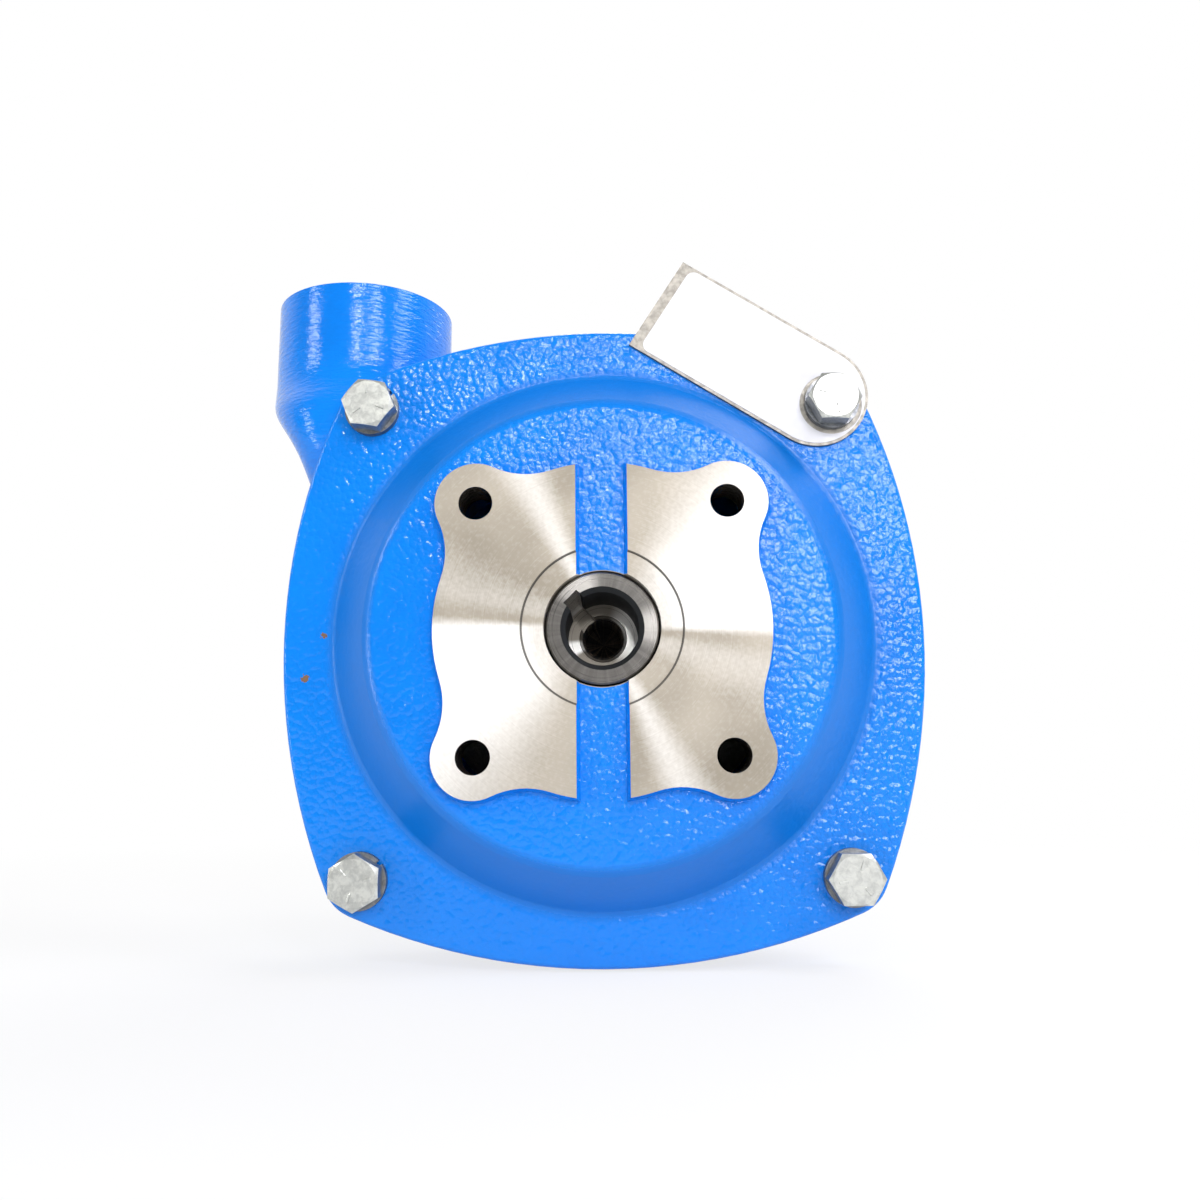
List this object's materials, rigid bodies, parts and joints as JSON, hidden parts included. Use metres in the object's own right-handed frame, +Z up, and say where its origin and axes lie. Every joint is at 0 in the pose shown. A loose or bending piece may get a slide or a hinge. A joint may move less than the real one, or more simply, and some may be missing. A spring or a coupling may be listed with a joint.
{
  "type": "centrifugal pump",
  "caption": "Blue cast-iron centrifugal pump for a small engine: rounded-square mounting flange, spiral casing with an upward discharge boss, hollow shaft and a closed impeller that spin.",
  "frame": {"origin": "centre of the engine mounting face, on the shaft's axis", "axes": "+Y from the engine through the shaft to the suction port, +Z up, +X to the right as the engine sees the pump; the discharge port points up at the -X side"},
  "size_m": [0.1867, 0.098, 0.1925],
  "materials": {
    "mounting_flange": "gloss",
    "volute_casing": "gloss",
    "casing_bolts": "satin",
    "lock_washers": "satin",
    "tag_plate": "satin",
    "tag_label": "gloss",
    "hollow_shaft": "polished",
    "impeller": "rough",
    "impeller_key": "satin",
    "impeller_washer": "satin",
    "impeller_nut": "satin",
    "seal_seat": "satin",
    "seal_seat_cup": "matte",
    "seal_face": "satin",
    "seal_bellows": "matte",
    "seal_shell": "satin",
    "seal_spring": "satin",
    "seal_spring_holder": "satin",
    "wear_ring": "satin",
    "casing_o_ring": "matte",
    "drain_plug": "satin",
    "priming_plug": "satin"
  },
  "bodies": {
    "housing": {"mounting_flange": "mounting_flange", "volute_casing": "volute_casing", "casing_bolts": "casing_bolts", "lock_washers": "lock_washers", "tag_plate": "tag_plate", "tag_label": "tag_label", "seal_seat": "seal_seat", "seal_seat_cup": "seal_seat_cup", "wear_ring": "wear_ring", "casing_o_ring": "casing_o_ring", "drain_plug": "drain_plug", "priming_plug": "priming_plug"},
    "rotor": {"hollow_shaft": "hollow_shaft", "impeller": "impeller", "impeller_key": "impeller_key", "impeller_washer": "impeller_washer", "impeller_nut": "impeller_nut", "seal_face": "seal_face", "seal_bellows": "seal_bellows", "seal_shell": "seal_shell", "seal_spring": "seal_spring", "seal_spring_holder": "seal_spring_holder"}
  },
  "joints": [
    {"name": "rotor_spin", "type": "hinge", "parent": "housing", "child": "rotor", "pos_m": [0, 0, 0], "axis": [0, 1, 0], "continuous": true}
  ]
}
